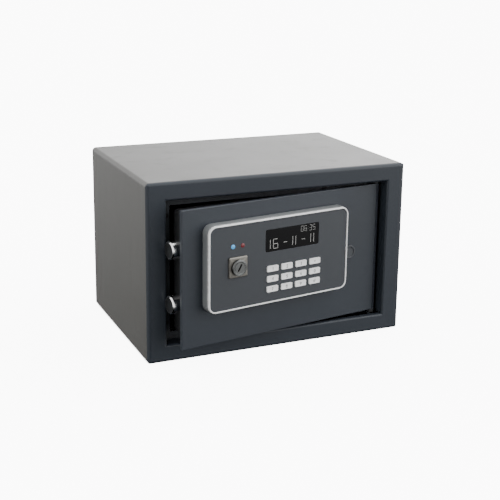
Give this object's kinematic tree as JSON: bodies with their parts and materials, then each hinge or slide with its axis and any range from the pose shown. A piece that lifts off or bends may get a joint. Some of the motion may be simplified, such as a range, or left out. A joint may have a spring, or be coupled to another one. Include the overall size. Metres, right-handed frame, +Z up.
{
  "type": "in-room safe",
  "caption": "Steel hotel-room safe with a hinged plate door, a keypad housing, motor-driven locking bolts and a key override.",
  "frame": {"origin": "middle of the cabinet's underside, on the face that it stands on", "axes": "+X to the right as seen from the front and along the longest side, +Y from the door to the back, +Z up"},
  "size_m": [0.31, 0.2489, 0.2],
  "materials": {
    "cabinet_paint": "fine satin powder coat",
    "door_paint": "fine satin powder coat",
    "lip_paint": "satin powder coat",
    "hinge_steel": "turned",
    "washer_nylon": "moulded",
    "pad_rubber": "matt",
    "mat_felt": "needle felt",
    "housing_plastic": "fine texture",
    "trim_plastic": "satin silver paint",
    "fascia_plastic": "fine texture",
    "window_plastic": "gloss",
    "display_glass": "gloss",
    "board_laminate": "solder mask",
    "spacer_brass": "turned",
    "zinc_screw": "zinc plated",
    "mat_silicone": "matt",
    "light_lens": "moulded lens",
    "escutcheon_metal": "champagne anodised",
    "lock_metal": "turned",
    "plug_plastic": "satin",
    "guide_plastic": "natural acetal",
    "motor_metal": "pressed",
    "lead_sleeve": "satin sleeve",
    "post_steel": "zinc plated",
    "cover_plastic": "spark texture",
    "holder_plastic": "satin",
    "contact_nickel": "nickel plated",
    "cell_wrap": "printed sleeve",
    "switch_plastic": "satin",
    "bolt_chrome": "chrome plated",
    "bar_steel": "zinc plated",
    "gear_brass": "hobbed",
    "button_plastic": "gloss",
    "key_plastic": "satin"
  },
  "bodies": {
    "cabinet": {"body_wrap": "cabinet_paint", "back_panel": "cabinet_paint", "front_frame": "door_paint", "stop_frame": "lip_paint", "buffer_pads": "pad_rubber", "hinge_lugs": "lip_paint", "hinge_pins": "hinge_steel", "hinge_washers": "washer_nylon", "floor_mat": "mat_felt"},
    "door": {"door_leaf": "door_paint", "side_plug": "plug_plastic", "housing_shell": "housing_plastic", "trim_ring": "trim_plastic", "fascia": "fascia_plastic", "display_window": "window_plastic", "display_module": "display_glass", "circuit_board": "board_laminate", "board_spacers": "spacer_brass", "board_screws": "zinc_screw", "key_mat": "mat_silicone", "status_lights": "light_lens", "lock_escutcheon": "escutcheon_metal", "lock_barrel": "lock_metal", "lock_nut": "zinc_screw", "housing_screws": "zinc_screw", "bolt_guide": "guide_plastic", "bar_guide": "guide_plastic", "gear_motor": "motor_metal", "cable_grommet": "pad_rubber", "wire_loom": "lead_sleeve", "cover_posts": "post_steel", "inner_cover": "cover_plastic", "cover_screws": "zinc_screw", "battery_holder": "holder_plastic", "battery_contacts": "contact_nickel", "batteries": "cell_wrap", "reset_switch": "switch_plastic"},
    "bolts": {"bolt_upper": "bolt_chrome", "bolt_lower": "bolt_chrome", "bolt_bar": "bar_steel", "bolt_screws": "zinc_screw"},
    "drive": {"drive_gear": "gear_brass", "drive_shaft": "hinge_steel"},
    "lock_core": {"lock_plug": "lock_metal", "lock_cam": "bar_steel"},
    "battery_lid": {"battery_door": "cover_plastic"},
    "reset": {"reset_button": "button_plastic"},
    "key_1": {"key_1": "key_plastic"},
    "key_2": {"key_2": "key_plastic"},
    "key_3": {"key_3": "key_plastic"},
    "key_star": {"key_star": "key_plastic"},
    "key_4": {"key_4": "key_plastic"},
    "key_5": {"key_5": "key_plastic"},
    "key_6": {"key_6": "key_plastic"},
    "key_0": {"key_0": "key_plastic"},
    "key_7": {"key_7": "key_plastic"},
    "key_8": {"key_8": "key_plastic"},
    "key_9": {"key_9": "key_plastic"},
    "key_hash": {"key_hash": "key_plastic"}
  },
  "joints": [
    {"name": "door_hinge", "type": "hinge", "parent": "cabinet", "child": "door", "pos_m": [0.1255, -0.091, 0.1], "axis": [0, 0, 1], "range_deg": [-9, 90]},
    {"name": "bolt_slide", "type": "slide", "parent": "door", "child": "bolts", "axis": [0.9877, 0.1564, 0], "range_m": [0, 0.016]},
    {"name": "drive_gear_spin", "type": "hinge", "parent": "door", "child": "drive", "pos_m": [-0.04444, -0.09514, 0.068], "axis": [-0.1564, 0.9877, 0], "range_deg": [0, 131.1]},
    {"name": "lock_turn", "type": "hinge", "parent": "door", "child": "lock_core", "pos_m": [-0.06638, -0.1305, 0.1103], "axis": [-0.1564, 0.9877, 0], "range_deg": [0, 90]},
    {"name": "battery_lid_hinge", "type": "hinge", "parent": "door", "child": "battery_lid", "pos_m": [0.09653, -0.05833, 0.1], "axis": [0, 0, -1], "range_deg": [0, 100]},
    {"name": "reset_press", "type": "slide", "parent": "door", "child": "reset", "axis": [0.1564, -0.9877, 0], "range_m": [0, 0.0009], "stiffness_N_per_m": 400, "springref_m": -0.001},
    {"name": "key_1_press", "type": "slide", "parent": "door", "child": "key_1", "axis": [-0.1564, 0.9877, 0], "range_m": [0, 0.001], "stiffness_N_per_m": 300, "springref_m": -0.001},
    {"name": "key_2_press", "type": "slide", "parent": "door", "child": "key_2", "axis": [-0.1564, 0.9877, 0], "range_m": [0, 0.001], "stiffness_N_per_m": 300, "springref_m": -0.001},
    {"name": "key_3_press", "type": "slide", "parent": "door", "child": "key_3", "axis": [-0.1564, 0.9877, 0], "range_m": [0, 0.001], "stiffness_N_per_m": 300, "springref_m": -0.001},
    {"name": "key_star_press", "type": "slide", "parent": "door", "child": "key_star", "axis": [-0.1564, 0.9877, 0], "range_m": [0, 0.001], "stiffness_N_per_m": 300, "springref_m": -0.001},
    {"name": "key_4_press", "type": "slide", "parent": "door", "child": "key_4", "axis": [-0.1564, 0.9877, 0], "range_m": [0, 0.001], "stiffness_N_per_m": 300, "springref_m": -0.001},
    {"name": "key_5_press", "type": "slide", "parent": "door", "child": "key_5", "axis": [-0.1564, 0.9877, 0], "range_m": [0, 0.001], "stiffness_N_per_m": 300, "springref_m": -0.001},
    {"name": "key_6_press", "type": "slide", "parent": "door", "child": "key_6", "axis": [-0.1564, 0.9877, 0], "range_m": [0, 0.001], "stiffness_N_per_m": 300, "springref_m": -0.001},
    {"name": "key_0_press", "type": "slide", "parent": "door", "child": "key_0", "axis": [-0.1564, 0.9877, 0], "range_m": [0, 0.001], "stiffness_N_per_m": 300, "springref_m": -0.001},
    {"name": "key_7_press", "type": "slide", "parent": "door", "child": "key_7", "axis": [-0.1564, 0.9877, 0], "range_m": [0, 0.001], "stiffness_N_per_m": 300, "springref_m": -0.001},
    {"name": "key_8_press", "type": "slide", "parent": "door", "child": "key_8", "axis": [-0.1564, 0.9877, 0], "range_m": [0, 0.001], "stiffness_N_per_m": 300, "springref_m": -0.001},
    {"name": "key_9_press", "type": "slide", "parent": "door", "child": "key_9", "axis": [-0.1564, 0.9877, 0], "range_m": [0, 0.001], "stiffness_N_per_m": 300, "springref_m": -0.001},
    {"name": "key_hash_press", "type": "slide", "parent": "door", "child": "key_hash", "axis": [-0.1564, 0.9877, 0], "range_m": [0, 0.001], "stiffness_N_per_m": 300, "springref_m": -0.001}
  ],
  "couplings": [
    {"joint": "drive_gear_spin", "follows": "bolt_slide", "rad_per_m": 142.86}
  ]
}
